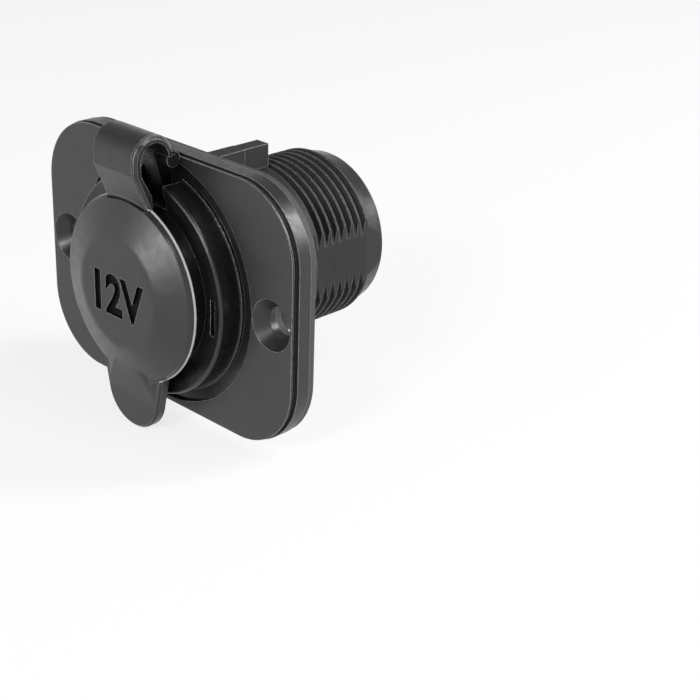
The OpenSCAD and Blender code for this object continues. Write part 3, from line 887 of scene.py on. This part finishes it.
class SOCKET_OT_stage(bpy.types.Operator):
    """Makes the camera, the floor, the lamps and the pale surroundings"""

    bl_idname = "socket.stage"
    bl_label = "Stage"

    def execute(self, context):
        look = settings("stage")
        self.camera(look)
        self.floor(look)
        self.world(look)
        for name, (place, size) in LAMPS.items():
            soft_lamp(name + "_lamp", place, size, getattr(look, name + "_power"))
        context.scene.view_settings.view_transform = "Standard"
        return {"FINISHED"}

    def camera(self, look):
        """The photograph's camera, turned, tilted and rolled as the settings say"""
        back = Vector((math.sin(look.azimuth) * math.cos(look.elevation),
                       -math.cos(look.azimuth) * math.cos(look.elevation),
                       math.sin(look.elevation)))
        level = Vector((math.cos(look.azimuth), math.sin(look.azimuth), 0))
        right = Matrix.Rotation(look.roll, 3, back) @ level
        up = back.cross(right)
        turn = Matrix((right, up, back)).transposed()
        view = bpy.data.cameras.new("photo_camera")
        view.lens = look.lens
        view.sensor_width = 36
        view.clip_start = 10 * MM
        holder = placed("photo_camera", view)
        holder.matrix_world = Matrix.Translation(look.eye) @ turn.to_4x4()
        bpy.context.scene.camera = holder

    def floor(self, look):
        """A level floor just below the part"""
        low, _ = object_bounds()
        form = bmesh.new()
        bmesh.ops.create_grid(form, x_segments=1, y_segments=1, size=FLOOR_HALF)
        bmesh.ops.translate(form, verts=form.verts[:], vec=(0, 0, low.z - FLOOR_GAP))
        mesh = bpy.data.meshes.new("floor")
        form.to_mesh(mesh)
        form.free()
        mesh.materials.append(self.paper(look))
        ground = placed("floor", mesh)
        ground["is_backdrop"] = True

    def paper(self, look):
        """Pale paper that the camera and mirrors see as nearly white, shadows and all"""
        material, shader, add = new_material("floor_paper")
        shader.inputs["Base Color"].default_value = (*look.floor_colour, 1)
        shader.inputs["Roughness"].default_value = PAPER_ROUGHNESS
        white = add("ShaderNodeEmission", {"Color": WHITE, "Strength": 1.0})
        share = maths(add, "MULTIPLY", seen_directly(add), look.whitening)
        mix = add("ShaderNodeMixShader", sources={0: share, 1: shader.outputs["BSDF"],
                                                  2: white.outputs["Emission"]})
        output = next(n for n in material.node_tree.nodes if n.type == "OUTPUT_MATERIAL")
        material.node_tree.links.new(mix.outputs["Shader"], output.inputs["Surface"])
        return material

    def world(self, look):
        """A room that is white at the horizon and dimmer overhead, seen white by the camera"""
        world = bpy.data.worlds.new("pale_room")
        world.use_nodes = True
        bpy.context.scene.world = world
        add = node_maker(world.node_tree)
        direction = add("ShaderNodeTexCoord").outputs["Generated"]
        height = add("ShaderNodeSeparateXYZ", sources={"Vector": direction}).outputs["Z"]
        dim = ranged(add, height, **ROOM_DIMS, low=1.0, high=look.ceiling)
        path = add("ShaderNodeLightPath").outputs
        mirrored = add("ShaderNodeMix", sources={"Factor": path["Is Glossy Ray"],
                                                 "A": maths(add, "MULTIPLY", dim, look.room_light),
                                                 "B": dim}, data_type="FLOAT")
        room = add("ShaderNodeBackground", {"Color": WHITE},
                   {"Strength": mirrored.outputs["Result"]})
        paper = add("ShaderNodeBackground", {"Color": WHITE, "Strength": 1.0})
        direct = maths(add, "MAXIMUM", path["Is Camera Ray"], path["Is Transmission Ray"])
        mix = add("ShaderNodeMixShader", sources={0: direct, 1: room.outputs["Background"],
                                                  2: paper.outputs["Background"]})
        add("ShaderNodeOutputWorld", sources={"Surface": mix.outputs["Shader"]})


OPERATORS = (SOCKET_OT_stage, SOCKET_OT_plate, SOCKET_OT_body, SOCKET_OT_cap, SOCKET_OT_hinge,
             SOCKET_OT_contacts, SOCKET_OT_terminals)


class SOCKET_PT_panel(bpy.types.Panel):
    """Sidebar panel with the socket's operators"""

    bl_idname = "SOCKET_PT_panel"
    bl_label = "Power Socket"
    bl_space_type = "VIEW_3D"
    bl_region_type = "UI"
    bl_category = "Power Socket"

    def draw(self, context):
        for operator in OPERATORS:
            self.layout.operator(operator.bl_idname)
        for group, kind in SETTINGS.items():
            box = self.layout.box()
            box.label(text=group.capitalize())
            for name in kind.__annotations__:
                box.prop(getattr(context.scene, "socket_" + group), name)


def register():
    for kind in (*SETTINGS.values(), *OPERATORS, SOCKET_PT_panel):
        bpy.utils.register_class(kind)
    for group, kind in SETTINGS.items():
        setattr(bpy.types.Scene, "socket_" + group, bpy.props.PointerProperty(type=kind))


def unregister():
    for group in SETTINGS:
        delattr(bpy.types.Scene, "socket_" + group)
    for kind in reversed((*SETTINGS.values(), *OPERATORS, SOCKET_PT_panel)):
        bpy.utils.unregister_class(kind)


def main():
    """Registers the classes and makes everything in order"""
    register()
    bpy.ops.socket.stage()
    bpy.ops.socket.plate()
    bpy.ops.socket.body()
    bpy.ops.socket.cap()
    bpy.ops.socket.hinge()
    bpy.ops.socket.contacts()
    bpy.ops.socket.terminals()


if __name__ == "__main__":
    main()
